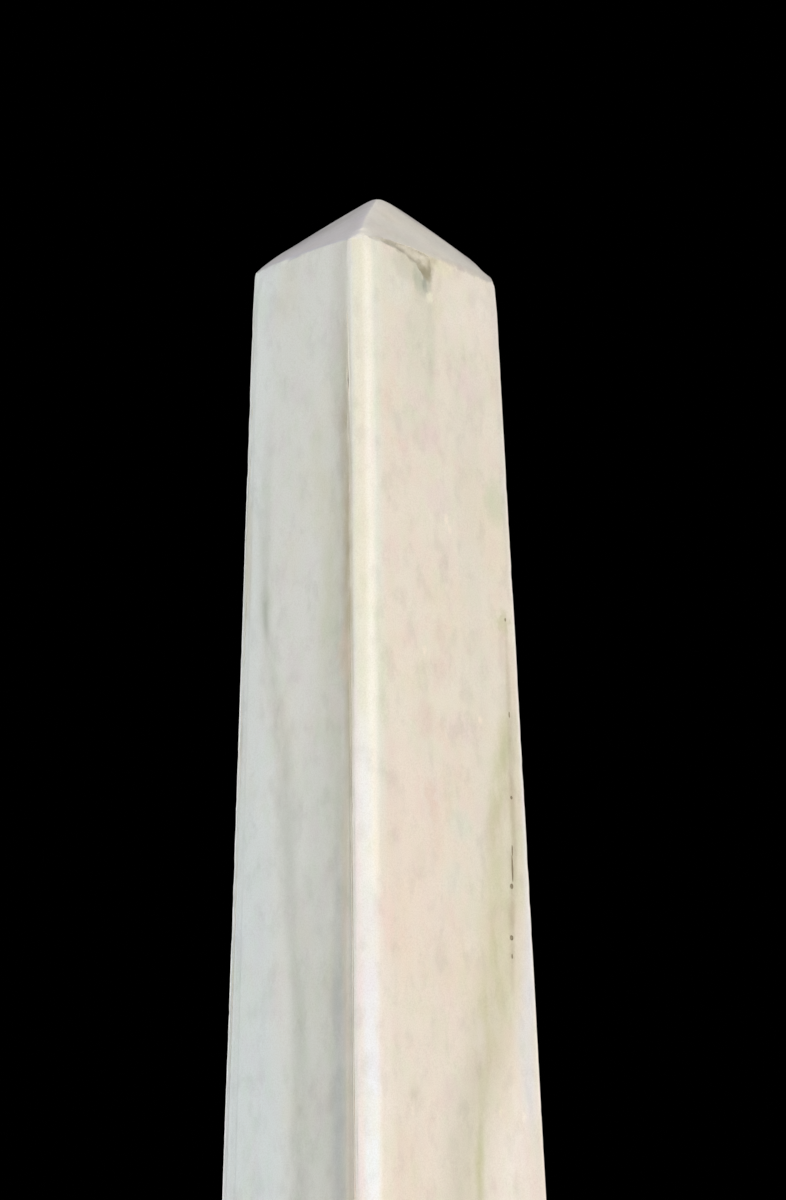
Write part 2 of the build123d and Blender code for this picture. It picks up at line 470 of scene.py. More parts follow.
def buildShaft():
    low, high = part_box("shaft")
    pointZ = low.z + shaft["height"]
    tipZ = pointZ + shaft["pointHeight"]
    width, depth = high.x - low.x, high.y - low.y
    topWidth = width - 2 * shaft["batter"] * shaft["height"]
    topDepth = depth - 2 * shaft["batter"] * shaft["height"]

    piece = addBlock("shaftStone", low, (high.x, high.y, pointZ))
    bpy.ops.object.mode_set(mode="EDIT")
    pick(piece, "FACE", looksUp)
    bpy.ops.transform.resize(value=(topWidth / width, topDepth / depth, 1))
    pick(piece, "EDGE", isUpright)
    bpy.ops.mesh.bevel(offset_type="OFFSET", offset=shaft["cornerBevel"], segments=1)
    pick(piece, "EDGE", isUpright)
    bpy.ops.mesh.bevel(offset_type="OFFSET", offset=shaft["edgeRound"], segments=4)
    pick(piece, "FACE", looksUp)
    cutPoint(pointZ, tipZ, topWidth, topDepth)
    cutStrips(pointZ, topWidth, topDepth)
    for again in range(2):
        pick(piece, "EDGE", lambda e: isUpright(e) and e.calc_length() > shaft["longEdge"])
        bpy.ops.mesh.subdivide(number_cuts=shaft["rows"])
    pick(piece, "FACE", lambda f: f.calc_center_median().z > pointZ - shaft["headDepth"])
    bpy.ops.mesh.subdivide(number_cuts=1)
    bpy.ops.object.mode_set(mode="OBJECT")

    wornGroups = [piece.vertex_groups.new(name=name) for name in ("worn", "shoulders")]
    edges = piece.vertex_groups.new(name="edges")
    for vertex in piece.data.vertices:
        x, y, z = vertex.co
        for group, soft in zip(wornGroups, softness(vertex.co, pointZ, tipZ, topWidth, topDepth)):
            if soft:
                group.add([vertex.index], soft, "REPLACE")
        out = shaft["batter"] * max(pointZ - z, 0)
        gapX = topWidth / 2 + out - abs(x)
        gapY = topDepth / 2 + out - abs(y)
        toBevel = min(abs(gapX - shaft["cornerBevel"]) if gapY < shaft["bevelNear"] else 1,
                      abs(gapY - shaft["cornerBevel"]) if gapX < shaft["bevelNear"] else 1)
        nearest = min(toBevel, abs(z - pointZ))
        if nearest < shaft["nickNear"]:
            edges.add([vertex.index], 1 - nearest / shaft["nickNear"], "REPLACE")
    soften(piece, shaft["wornSteps"], "worn")
    soften(piece, shaft["shoulderSteps"], "shoulders")
    bpy.ops.object.mode_set(mode="EDIT")
    for spot, move, reach in shaft["uneven"]:
        pick(piece, "VERT", lambda v: (v.co - Vector(spot)).length < shaft["unevenCore"])
        bpy.ops.transform.translate(value=move, use_proportional_edit=True, proportional_size=reach,
                                    proportional_edit_falloff="SMOOTH")
    bpy.ops.object.mode_set(mode="OBJECT")
    roughen(piece, shaft)
    print("shaft: formed,", len(piece.data.polygons), "faces")
    return piece


# what has broken out of the shaft, cut away from it as lumps

chips = {
    "broken": [  # middle, half sizes
        ((-0.0820, -0.0872, 2.8216), (0.0190, 0.0034, 0.0026)),
        ((-0.0640, -0.0866, 2.8204), (0.0190, 0.0042, 0.0038)),
        ((-0.0460, -0.0862, 2.8184), (0.0180, 0.0052, 0.0056)),
        ((-0.0310, -0.0860, 2.8148), (0.0160, 0.0062, 0.0084)),
        ((-0.0170, -0.0866, 2.8075), (0.0110, 0.0058, 0.0120)),
        ((-0.0135, -0.0893, 2.7935), (0.0078, 0.0038, 0.0165)),
    ],
    "zone": ((-0.110, -0.130, 2.768), (0.030, -0.070, 2.842)),  # the stone round the break, cut finer
    "zoneCuts": 2,
    "breakFineness": 4, "pitFineness": 3,   # subdivisions of the lumps
    "fine": 0.0012,         # size of the facets of a break
    "ragged": 0.0052, "raggedSize": 0.009,
    "softSteps": 24,
    "pits": [  # across, height, half width, half height, depth, on the front face
        (0.0911, 2.4348, 0.0013, 0.0020, 0.0008),
        (0.0920, 2.3325, 0.0012, 0.0034, 0.0008),
        (0.0903, 2.2440, 0.0019, 0.0019, 0.0016),
        (0.0884, 2.1880, 0.0011, 0.0060, 0.0007),
        (0.0876, 2.1690, 0.0014, 0.0150, 0.0013),
        (0.0855, 2.1505, 0.0026, 0.0028, 0.0020),
        (0.0824, 2.0967, 0.0028, 0.0027, 0.0024),
        (0.0821, 2.0775, 0.0013, 0.0026, 0.0008),
    ],
}


def addLump(place, halves, fineness):
    clearSelection()
    bpy.ops.mesh.primitive_ico_sphere_add(subdivisions=fineness, radius=1, location=place)
    lump = bpy.context.object
    lump.scale = halves
    bpy.ops.object.transform_apply(location=True, rotation=False, scale=True)
    return lump


def joinAll(pieces, name):
    clearSelection()
    for piece in pieces:
        piece.select_set(True)
    bpy.context.view_layer.objects.active = pieces[0]
    bpy.ops.object.join()
    joined = bpy.context.object
    joined.name = name
    bpy.ops.object.transform_apply(location=True, rotation=True, scale=True)
    return joined


def cutAway(piece, lump, material):
    lump.data.materials.clear()
    lump.data.materials.append(material)
    applyModifier(piece, "BOOLEAN", operation="DIFFERENCE", solver="MANIFOLD", object=lump,
                  material_mode="TRANSFER")
    bpy.data.objects.remove(lump)


def inZone(spot):
    low, high = chips["zone"]
    return all(a < b < c for a, b, c in zip(low, spot, high))


def cutChips(piece, broken, dirt):
    makeActive(piece)
    bpy.ops.object.mode_set(mode="EDIT")
    pick(piece, "FACE", lambda f: inZone(f.calc_center_median()))
    bpy.ops.mesh.subdivide(number_cuts=chips["zoneCuts"])
    bpy.ops.object.mode_set(mode="OBJECT")
    lumps = [addLump(place, halves, chips["breakFineness"]) for place, halves in chips["broken"]]
    lump = joinAll(lumps, "break")
    applyModifier(lump, "REMESH", mode="VOXEL", voxel_size=chips["fine"])
    applyModifier(lump, "DISPLACE", texture=cloudTexture("break", chips["raggedSize"], 3),
                  strength=chips["ragged"], mid_level=0.5, texture_coords="LOCAL")
    cutAway(piece, lump, broken)
    rim = piece.vertex_groups.new(name="chipRim")
    rim.add([v.index for v in piece.data.vertices if inZone(v.co)], 1, "REPLACE")
    soften(piece, chips["softSteps"], "chipRim")
    low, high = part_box("shaft")
    holes = []
    for x, z, halfWidth, halfHeight, depth in chips["pits"]:
        faceY = low.y + shaft["batter"] * (z - low.z)
        holes.append(addLump((x, faceY, z), (halfWidth, depth, halfHeight), chips["pitFineness"]))
    cutAway(piece, joinAll(holes, "pits"), dirt)
    print("shaft: chips cut,", len(piece.data.polygons), "faces")


shaftLook = {
    "cream": (224, 218, 204), "peach": (227, 215, 202),     # the stone's two main colours
    "rosy": (228, 206, 195), "rosyAmount": 0.35,
    "run": (212, 207, 196), "runAmount": 0.35,              # upright runs
    "leftShade": (206, 209, 206), "leftShadeAmount": 0.75,            # painted bluish-grey shade on the left side
    "grime": (187, 184, 178), "grimeAmount": 0.6,           # on what looks up
    "greenish": (250, 254, 249), "mauvish": (254, 250, 253),
    "warmish": (255, 253, 248), "greyish": (246, 246, 246),
    "speck": (228, 224, 218), "speckAmount": 0.4,
    "roughness": (0.50, 0.64), "bump": (0.15, 0.0012), "fineShare": 0.35,
}

shaftMarks = {
    "shadeBySide": [  # painted shade by the way each side faces: side, where its tint starts and is full, tint
        ("farCorner", 0.93, 0.98, (236, 240, 250)),
        ("leftSlope", 0.88, 0.98, (215, 214, 238)),
        ("frontSlope", 0.8, 0.96, (241, 243, 245)),
        ("rightSlope", 0.56, 0.84, (190, 186, 206)),
        ("backSlope", 0.56, 0.84, (190, 188, 198)),
        ("top", 0.7, 0.94, (234, 237, 244)),
        ("corner", 0.95, 0.985, (249, 251, 243)),
    ],
    "streaks": [  # each point of a path: height, across, half width, strength
        {"side": "leftSlope", "colour": (122, 117, 123), "wander": 0.006,
         "path": [  # painted shade towards the far ridge
            (2.915, -0.004, 0.08, 0.8), (2.882, 0.01, 0.08, 0.9), (2.869, 0.018, 0.084, 0.95),
            (2.853, 0.038, 0.086, 0.95), (2.842, 0.052, 0.072, 0.85), (2.817, 0.068, 0.05, 0.4)]},
        {"side": "frontSlope", "colour": (190, 188, 178), "wander": 0.006, "path": [  # dull right half
            (2.915, 0.0, 0.07, 0.6), (2.87, 0.03, 0.05, 0.7), (2.852, 0.04, 0.05, 0.7),
            (2.838, 0.056, 0.05, 0.6), (2.826, 0.07, 0.04, 0.6)]},
        {"side": "frontSlope", "colour": (138, 135, 135), "wander": 0.003, "path": [  # painted shade along its right ridge
            (2.915, 0.0, 0.016, 0.6), (2.874, 0.036, 0.018, 0.9), (2.86, 0.058, 0.018, 0.9),
            (2.843, 0.075, 0.022, 0.95), (2.834, 0.082, 0.028, 0.9), (2.817, 0.098, 0.026, 0.7)]},
        {"side": "left", "colour": (207, 213, 213), "soft": 0.6, "patchy": 0.15,
         "path": [  # pale outer side
            (2.82, 0.07, 0.045, 0.8), (2.555, 0.078, 0.04, 0.5), (2.341, 0.08, 0.036, 0.5),
            (2.213, 0.072, 0.05, 0.7), (2.131, 0.07, 0.054, 0.8), (2.028, 0.068, 0.06, 0.85),
            (1.929, 0.064, 0.07, 0.9), (1.8, 0.06, 0.072, 0.9), (1.2, 0.06, 0.072, 0.5),
            (0.8, 0.06, 0.06, 0.0)]},
        {"side": "left", "colour": (217, 219, 216), "patchy": 0.15, "path": [  # paler high up
            (2.82, 0.07, 0.06, 0.5), (2.7, 0.068, 0.06, 0.6), (2.62, 0.068, 0.05, 0.3),
            (2.55, 0.07, 0.04, 0.0)]},
        {"side": "left", "colour": (177, 180, 171), "patchy": 0.4, "path": [  # soft dark streak
            (2.66, 0.042, 0.008, 0.0), (2.555, 0.046, 0.014, 0.35), (2.475, 0.047, 0.015, 0.45),
            (2.445, 0.046, 0.014, 0.6), (2.41, 0.043, 0.014, 0.5), (2.383, 0.038, 0.015, 0.35),
            (2.329, 0.027, 0.02, 0.4), (2.295, 0.018, 0.022, 0.48), (2.232, 0.0105, 0.023, 0.56),
            (2.17, 0.0075, 0.024, 0.58), (2.11, 0.0, 0.024, 0.52), (2.028, -0.012, 0.022, 0.66),
            (1.909, -0.016, 0.023, 0.74), (1.8, -0.018, 0.022, 0.7), (1.4, -0.03, 0.018, 0.0)]},
        {"side": "left", "colour": (140, 144, 132), "path": [  # its darkest part
            (2.48, 0.0465, 0.004, 0.0), (2.455, 0.0465, 0.007, 0.3), (2.43, 0.0455, 0.007, 0.35),
            (2.4, 0.043, 0.004, 0.0)]},
        {"side": "left", "colour": (196, 188, 166), "path": [  # brownish at the far edge
            (2.57, 0.072, 0.006, 0.0), (2.52, 0.074, 0.01, 0.5), (2.46, 0.075, 0.01, 0.5),
            (2.41, 0.076, 0.006, 0.0)]},
        {"side": "left", "colour": (192, 193, 186), "patchy": 0.15,
         "path": [  # duller low down, beside the bevel
            (2.4, -0.045, 0.03, 0.0), (2.25, -0.04, 0.046, 0.45), (2.0, -0.048, 0.056, 0.75),
            (1.85, -0.052, 0.062, 0.9), (1.4, -0.06, 0.056, 0.6), (0.9, -0.07, 0.05, 0.0)]},
        {"side": "left", "colour": (186, 183, 171), "path": [  # dull belt beside the bevel
            (2.8, -0.062, 0.024, 0.4), (2.6, -0.064, 0.03, 0.6), (2.3, -0.069, 0.034, 0.75),
            (2.05, -0.076, 0.034, 0.8), (1.8, -0.082, 0.034, 0.8), (1.2, -0.09, 0.04, 0.3),
            (0.8, -0.09, 0.03, 0.0)]},
        {"side": "left", "colour": (190, 190, 163), "wander": 0.016, "patchy": 0.4, "path": [  # olive
            (2.64, -0.03, 0.012, 0.0), (2.59, -0.032, 0.018, 0.3), (2.52, -0.046, 0.022, 0.3),
            (2.45, -0.048, 0.024, 0.5), (2.36, -0.04, 0.026, 0.3), (2.26, -0.04, 0.02, 0.0)]},
        {"side": "left", "colour": (164, 154, 126), "wander": 0.005, "path": [  # brown line
            (2.8, -0.068, 0.006, 0.0), (2.765, -0.068, 0.009, 0.1), (2.72, -0.0695, 0.012, 0.35),
            (2.65, -0.071, 0.0135, 0.5), (2.59, -0.0715, 0.015, 0.75), (2.54, -0.073, 0.0125, 0.7),
            (2.49, -0.074, 0.0125, 0.8), (2.38, -0.0765, 0.0125, 0.75), (2.28, -0.0795, 0.011, 0.6),
            (2.2, -0.082, 0.009, 0.3), (2.1, -0.086, 0.007, 0.0)]},
        {"side": "left", "colour": (172, 175, 174), "wander": 0.006, "path": [  # cold and dark
            (2.26, -0.062, 0.006, 0.0), (2.15, -0.064, 0.009, 0.4), (1.98, -0.067, 0.014, 0.7),
            (1.84, -0.069, 0.015, 0.8), (1.4, -0.08, 0.01, 0.0)]},
        {"side": "left", "colour": (192, 178, 164), "wander": 0.004, "path": [  # mauve
            (2.26, -0.074, 0.006, 0.0), (2.16, -0.075, 0.009, 0.5), (2.08, -0.077, 0.01, 0.5),
            (1.9, -0.085, 0.009, 0.5), (1.78, -0.088, 0.01, 0.5), (1.3, -0.1, 0.007, 0.0)]},
        {"side": "front", "colour": (218, 214, 200), "patchy": 0.2,
         "path": [  # faint, right of the middle
            (2.5, 0.06, 0.05, 0.0), (2.3, 0.055, 0.07, 0.5), (2.1, 0.045, 0.08, 0.7),
            (1.95, 0.025, 0.075, 0.6), (1.85, 0.01, 0.07, 0.6), (1.5, -0.02, 0.07, 0.4),
            (1.0, -0.04, 0.06, 0.0)]},
        {"side": "front", "colour": (208, 203, 177), "soft": 0.85, "patchy": 0.35,
         "path": [  # olive band
            (2.42, 0.098, 0.012, 0.0), (2.345, 0.095, 0.022, 0.45), (2.315, 0.091, 0.03, 0.7),
            (2.282, 0.087, 0.036, 0.8), (2.186, 0.077, 0.043, 0.85), (2.091, 0.064, 0.045, 0.85),
            (2.03, 0.052, 0.046, 0.9), (1.99, 0.041, 0.043, 0.85), (1.919, 0.021, 0.038, 0.65),
            (1.854, 0.003, 0.035, 0.5), (1.6, -0.04, 0.034, 0.5), (1.2, -0.08, 0.03, 0.3),
            (0.95, -0.1, 0.02, 0.0)]},
        {"side": "front", "colour": (205, 199, 184), "patchy": 0.2, "path": [  # its grey foot
            (2.06, 0.05, 0.05, 0.0), (1.99, 0.042, 0.054, 0.45), (1.949, 0.026, 0.054, 0.55),
            (1.919, 0.006, 0.046, 0.6), (1.889, -0.004, 0.042, 0.65), (1.862, -0.008, 0.04, 0.7),
            (1.6, -0.045, 0.034, 0.4), (1.2, -0.08, 0.03, 0.0)]},
        {"side": "front", "colour": (190, 188, 150), "patchy": 0.7, "path": [  # its darker core
            (2.34, 0.088, 0.01, 0.0), (2.3, 0.08, 0.019, 0.45), (2.24, 0.07, 0.021, 0.5),
            (2.187, 0.06, 0.019, 0.3), (2.134, 0.056, 0.02, 0.15), (2.098, 0.058, 0.02, 0.3),
            (2.03, 0.05, 0.026, 0.35), (1.949, 0.03, 0.02, 0.3), (1.919, 0.026, 0.013, 0.35),
            (1.889, 0.0235, 0.01, 0.5), (1.862, 0.022, 0.01, 0.75), (1.8, 0.018, 0.009, 0.5),
            (1.6, -0.02, 0.01, 0.3), (1.1, -0.07, 0.008, 0.0)]},
        {"side": "front", "colour": (178, 168, 142), "wander": 0.005, "patchy": 0.6,
         "path": [  # through the pits
            (2.46, 0.091, 0.003, 0.0), (2.4, 0.0925, 0.005, 0.25), (2.33, 0.0925, 0.007, 0.5),
            (2.25, 0.0915, 0.008, 0.55), (2.17, 0.089, 0.009, 0.6), (2.1, 0.084, 0.008, 0.45),
            (2.02, 0.081, 0.005, 0.0)]},
        {"side": "front", "colour": (224, 227, 216), "patchy": 0.2, "wander": 0.006,
         "path": [  # greyer beside the bevel
            (2.82, -0.094, 0.018, 0.9), (2.56, -0.1, 0.019, 0.9), (2.35, -0.106, 0.018, 0.9),
            (2.14, -0.112, 0.014, 0.3), (2.0, -0.115, 0.01, 0.0)]},
        {"side": "front", "colour": (231, 223, 213), "patchy": 0.3,
         "path": [  # lighter beside the bevel
            (2.3, -0.1, 0.01, 0.0), (2.1, -0.108, 0.016, 0.5), (2.0, -0.11, 0.02, 0.8),
            (1.85, -0.114, 0.02, 0.9), (1.2, -0.127, 0.018, 0.5), (0.7, -0.14, 0.018, 0.3)]},
        {"side": "front", "colour": (234, 227, 218), "patchy": 0.5,
         "path": [  # pale foot of the right side
            (2.12, 0.114, 0.008, 0.0), (2.04, 0.11, 0.018, 0.5), (1.95, 0.098, 0.036, 0.9),
            (1.88, 0.078, 0.048, 1.0), (1.82, 0.07, 0.058, 1.0), (1.7, 0.075, 0.055, 0.6),
            (1.45, 0.1, 0.04, 0.0)]},
        {"side": "front", "colour": (213, 209, 204), "patchy": 0.2, "wander": 0.003,
         "path": [  # dull right edge
            (2.815, 0.092, 0.011, 0.6), (2.7, 0.095, 0.011, 0.6), (2.6, 0.098, 0.011, 0.6),
            (2.54, 0.099, 0.011, 0.6), (2.46, 0.103, 0.008, 0.0)]},
        {"side": "front", "colour": (220, 220, 224), "patchy": 0.2, "wander": 0.004,
         "path": [  # cold right edge
            (2.4, 0.106, 0.006, 0.0), (2.28, 0.11, 0.008, 0.5), (2.14, 0.112, 0.012, 0.7),
            (2.03, 0.107, 0.022, 0.9), (1.99, 0.1, 0.026, 1.0), (1.95, 0.1, 0.022, 0.8),
            (1.92, 0.102, 0.018, 0.5), (1.87, 0.112, 0.012, 0.2), (1.4, 0.13, 0.01, 0.0)]},
        {"side": "front", "colour": (203, 204, 186), "path": [  # below the break
            (2.8, -0.02, 0.02, 0.3), (2.76, -0.022, 0.03, 0.5), (2.7, -0.028, 0.034, 0.45),
            (2.62, -0.03, 0.03, 0.2), (2.55, -0.03, 0.02, 0.0)]},
        {"side": "front", "colour": (196, 199, 180), "wander": 0.006, "path": [  # a green run there
            (2.775, -0.01, 0.005, 0.2), (2.751, -0.01, 0.01, 0.35), (2.72, -0.011, 0.012, 0.35),
            (2.678, -0.015, 0.012, 0.2), (2.63, -0.02, 0.008, 0.0)]},
        {"side": "corner", "colour": (226, 223, 213), "wander": 0.002, "path": [  # painted highlight along its right edge
            (2.82, -0.0105, 0.007, 0.9), (2.4, -0.0105, 0.0075, 0.9), (2.2, -0.011, 0.008, 0.6),
            (2.05, -0.012, 0.0085, 0.4), (1.6, -0.012, 0.007, 0.3), (0.7, -0.0085, 0.007, 0.3)]},
        {"side": "corner", "colour": (221, 222, 228), "soft": 0.8, "wander": 0.003, "patchy": 0.4,
         "path": [  # painted bluish reflection low down
            (2.32, -0.02, 0.01, 0.0), (2.22, -0.02, 0.013, 0.6), (2.13, -0.018, 0.014, 0.5),
            (2.02, -0.015, 0.014, 0.85), (1.8, -0.0145, 0.014, 1.0), (1.0, -0.015, 0.014, 0.4),
            (0.7, -0.015, 0.012, 0.0)]},
        {"side": "corner", "colour": (204, 202, 198), "wander": 0.004, "patchy": 0.2, "path": [  # grey
            (2.15, -0.01, 0.02, 0.0), (2.11, -0.012, 0.024, 0.3), (2.03, -0.01, 0.026, 0.35),
            (1.98, -0.01, 0.026, 0.3), (1.92, -0.01, 0.02, 0.0)]},
        {"side": "corner", "colour": (221, 207, 206), "wander": 0.002, "path": [  # pink at its left
            (2.4, -0.027, 0.004, 0.0), (2.3, -0.027, 0.0065, 0.4), (2.08, -0.0265, 0.0075, 0.6),
            (1.9, -0.0265, 0.008, 0.8), (1.7, -0.0265, 0.008, 0.6), (1.2, -0.0265, 0.006, 0.0)]},
        {"side": "right", "colour": (196, 194, 178), "patchy": 0.5, "path": [  # quiet runs
            (2.7, -0.03, 0.01, 0.0), (2.4, -0.02, 0.022, 0.5), (2.0, 0.01, 0.03, 0.6),
            (1.5, 0.03, 0.034, 0.6), (1.1, 0.06, 0.03, 0.3), (0.8, 0.08, 0.02, 0.0)]},
        {"side": "right", "colour": (168, 164, 146), "patchy": 0.5, "path": [
            (2.2, 0.06, 0.006, 0.0), (1.9, 0.052, 0.012, 0.5), (1.5, 0.045, 0.012, 0.4),
            (1.1, 0.04, 0.01, 0.0)]},
        {"side": "back", "colour": (200, 202, 194), "patchy": 0.5, "path": [  # and on the back
            (2.8, 0.04, 0.02, 0.4), (2.3, 0.02, 0.04, 0.6), (1.7, -0.01, 0.05, 0.6),
            (1.1, -0.05, 0.05, 0.4), (0.8, -0.06, 0.04, 0.0)]},
        {"side": "back", "colour": (170, 170, 156), "patchy": 0.5, "path": [
            (2.5, -0.06, 0.008, 0.0), (2.1, -0.066, 0.014, 0.5), (1.6, -0.08, 0.016, 0.5),
            (1.2, -0.09, 0.01, 0.0)]},
    ],
    "spots": [  # side, across, height, half width, half height, colour, strength
        ("front", 0.082, 2.562, 0.022, 0.034, (192, 198, 168), 0.45),  # green
        ("front", 0.088, 2.432, 0.012, 0.018, (188, 186, 150), 0.5),
        ("front", -0.017, 2.613, 0.026, 0.024, (224, 204, 202), 0.45),  # pink and mauve
        ("front", -0.0045, 2.55, 0.026, 0.026, (222, 205, 205), 0.4),
        ("front", 0.05, 2.686, 0.03, 0.028, (226, 210, 208), 0.35),
        ("front", -0.036, 2.655, 0.024, 0.02, (226, 208, 204), 0.4),
        ("front", 0.015, 2.308, 0.028, 0.024, (224, 206, 206), 0.45),
        ("front", -0.038, 2.312, 0.022, 0.026, (218, 198, 186), 0.45),
        ("front", -0.06, 2.622, 0.02, 0.024, (216, 220, 208), 0.4),  # paler or greener
        ("front", 0.014, 2.718, 0.016, 0.024, (218, 218, 198), 0.4),
        ("front", 0.048, 2.765, 0.054, 0.06, (230, 224, 216), 0.7),
        ("front", 0.01, 2.208, 0.022, 0.022, (210, 217, 204), 0.45),
        ("front", -0.001, 2.15, 0.022, 0.024, (212, 218, 206), 0.4),
        ("front", 0.03, 1.985, 0.014, 0.03, (222, 213, 208), 0.35),
        ("front", -0.026, 2.077, 0.03, 0.04, (222, 214, 210), 0.4),
        ("left", 0.044, 2.26, 0.02, 0.085, (212, 216, 218), 0.5),
        ("left", 0.078, 2.07, 0.02, 0.06, (206, 214, 216), 0.5),
        # a painted glint below the break
        ("front", -0.01, 2.772, 0.0065, 0.009, (236, 236, 216), 0.7),
        ("front", -0.066, 2.78, 0.034, 0.04, (216, 224, 216), 0.45),
        ("left", -0.071, 2.375, 0.012, 0.04, (204, 184, 170), 0.5),
        ("front", 0.005, 2.53, 0.004, 0.008, (238, 228, 212), 0.7),  # small pale flecks
        ("front", 0.009, 2.52, 0.004, 0.006, (238, 228, 212), 0.6),
        ("front", -0.035, 2.385, 0.004, 0.007, (238, 228, 214), 0.6),
        ("front", 0.046, 2.322, 0.004, 0.006, (240, 230, 214), 0.6),
        ("front", -0.074, 1.916, 0.004, 0.007, (240, 230, 216), 0.6),
        ("front", 0.056, 1.918, 0.004, 0.006, (240, 232, 214), 0.5),
        ("front", 0.091, 1.913, 0.005, 0.007, (242, 234, 222), 0.6),
        ("front", -0.064, 2.434, 0.008, 0.018, (206, 194, 180), 0.3),  # brown smudges
        ("front", -0.0005, 2.475, 0.011, 0.02, (210, 197, 185), 0.3),
        ("front", -0.011, 2.408, 0.011, 0.022, (210, 196, 184), 0.3),
        ("front", -0.013, 2.366, 0.012, 0.02, (210, 196, 185), 0.28),
        ("front", -0.034, 2.235, 0.011, 0.022, (220, 192, 176), 0.35),
        ("front", -0.027, 2.218, 0.009, 0.016, (220, 192, 176), 0.35),
        ("front", -0.016, 2.304, 0.01, 0.018, (220, 194, 180), 0.3),
        ("front", -0.069, 1.926, 0.016, 0.022, (206, 194, 180), 0.35),
        ("front", -0.018, 1.938, 0.016, 0.02, (214, 198, 192), 0.4),
        ("front", -0.1, 2.365, 0.014, 0.09, (222, 220, 196), 0.4),
        ("front", -0.102, 2.105, 0.012, 0.05, (234, 212, 200), 0.45),
        ("front", -0.04, 2.8, 0.032, 0.024, (196, 196, 180), 0.6),  # painted shade and dirt about the break
        ("front", -0.0205, 2.786, 0.0165, 0.021, (178, 181, 168), 0.65),
    ],
    "blobs": [  # middle, half sizes, colour, strength: a duller edge, then painted shade and dirt in the break, and a painted highlight on its right rim
        ((0.024, -0.088, 2.8185), (0.014, 0.02, 0.006), (193, 187, 179), 0.55),
        ((0.042, -0.088, 2.817), (0.014, 0.02, 0.0068), (193, 187, 179), 0.7),
        ((0.06, -0.088, 2.8155), (0.014, 0.02, 0.0068), (193, 187, 179), 0.7),
        ((0.078, -0.088, 2.8145), (0.014, 0.02, 0.0068), (190, 186, 180), 0.7),
        # painted shade in the groove of the break, with some dirt
        ((-0.08, -0.086, 2.8215), (0.015, 0.02, 0.005), (186, 182, 168), 0.65),
        ((-0.064, -0.085, 2.8194), (0.016, 0.02, 0.0056), (171, 166, 151), 0.95),
        ((-0.048, -0.085, 2.8162), (0.014, 0.02, 0.0058), (169, 163, 148), 0.95),
        ((-0.031, -0.085, 2.81), (0.015, 0.02, 0.0062), (174, 168, 152), 0.9),
        ((-0.018, -0.085, 2.8045), (0.01, 0.02, 0.0085), (170, 165, 144), 0.85),
        ((-0.002, -0.086, 2.8125), (0.01, 0.02, 0.007), (197, 190, 167), 0.8),
        ((-0.0075, -0.087, 2.804), (0.008, 0.014, 0.008), (178, 171, 148), 0.7),
        ((-0.0115, -0.085, 2.7975), (0.0085, 0.02, 0.011), (154, 148, 124), 0.95),
        ((-0.015, -0.086, 2.7845), (0.0085, 0.02, 0.01), (168, 171, 157), 0.9),
        # painted highlight where the break's right rim catches light
        ((0.013, -0.088, 2.808), (0.019, 0.012, 0.011), (231, 227, 205), 0.7),
    ],
}

broken = {"dark": (202, 197, 180), "pale": (213, 207, 192), "roughness": 0.75, "bump": (0.6, 0.0015)}
pitDirt = dict(broken, dark=(144, 134, 112), pale=(156, 146, 122))

shaftPiece = buildShaft()
shaftPiece.data.materials.append(stoneSkin("weatheredMarble", shaftLook, shaftMarks))
breakSkin = brokenSkin("brokenMarble", broken, shaftMarks["blobs"])
cutChips(shaftPiece, breakSkin, brokenSkin("pitDirt", pitDirt))
makeActive(shaftPiece)
bpy.ops.object.shade_smooth_by_angle(angle=math.radians(35))
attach(shaftPiece, "root")
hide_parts("shaft")


# base stones

stones = {
    "plinth": {"bevel": 0.020, "wash": 0.020, "seat": (0.3535, 0.3035)},  # seat: size of the level top
    "base_slab": {"bevel": 0.024, "wash": 0.016, "seat": (0.4835, 0.4335)},
    "front_kerb": {}, "back_kerb": {}, "left_kerb": {}, "right_kerb": {},
}

wear = {
    "grid": 0.0055,         # size of the facets
    "softSteps": 3,
    "inset": 0.0006,        # room for the unevenness inside the stone's own box
    "waveSize": 0.16, "waveDepth": 0.0016,
    "nickSize": 0.045, "nickDepth": 0.0055, "nickBite": (0.52, 0.78), "nickNear": 0.020,
}


def buildStone(node, shape):
    low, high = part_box(node)
    inset = Vector((wear["inset"],) * 3)
    low, high = low + inset, high - inset
    wash = shape.get("wash", 0)
    piece = addBlock(node + "Stone", low, (high.x, high.y, high.z - wash))
    bpy.ops.object.mode_set(mode="EDIT")
    if wash:
        width, depth = high.x - low.x, high.y - low.y
        seatWidth, seatDepth = shape["seat"]
        pick(piece, "EDGE", isUpright)
        bpy.ops.mesh.bevel(offset_type="OFFSET", offset=shape["bevel"], segments=1)
        pick(piece, "FACE", looksUp)
        bpy.ops.mesh.extrude_region_move(TRANSFORM_OT_translate={"value": (0, 0, wash)})
        bpy.ops.transform.resize(value=(seatWidth / width, seatDepth / depth, 1))
    bpy.ops.object.mode_set(mode="OBJECT")
    applyModifier(piece, "REMESH", mode="VOXEL", voxel_size=wear["grid"])
    soften(piece, wear["softSteps"])
    edges = piece.vertex_groups.new(name="edges")
    middle, half = (low + high) / 2, (high - low) / 2
    for vertex in piece.data.vertices:
        away = vertex.co - middle
        below = high.z - wash - vertex.co.z     # under the rim of the sides
        gaps = sorted((half.x - abs(away.x), half.y - abs(away.y), below if below > -2 * hair else 1))
        nearest = gaps[1]   # an edge lies near to two faces
        if nearest < wear["nickNear"]:
            edges.add([vertex.index], 1 - max(nearest, 0) / wear["nickNear"], "REPLACE")
    roughen(piece, wear)
    makeActive(piece)
    bpy.ops.object.shade_smooth_by_angle(angle=math.radians(40))
    print(node, "built,", len(piece.data.polygons), "faces")
    return piece


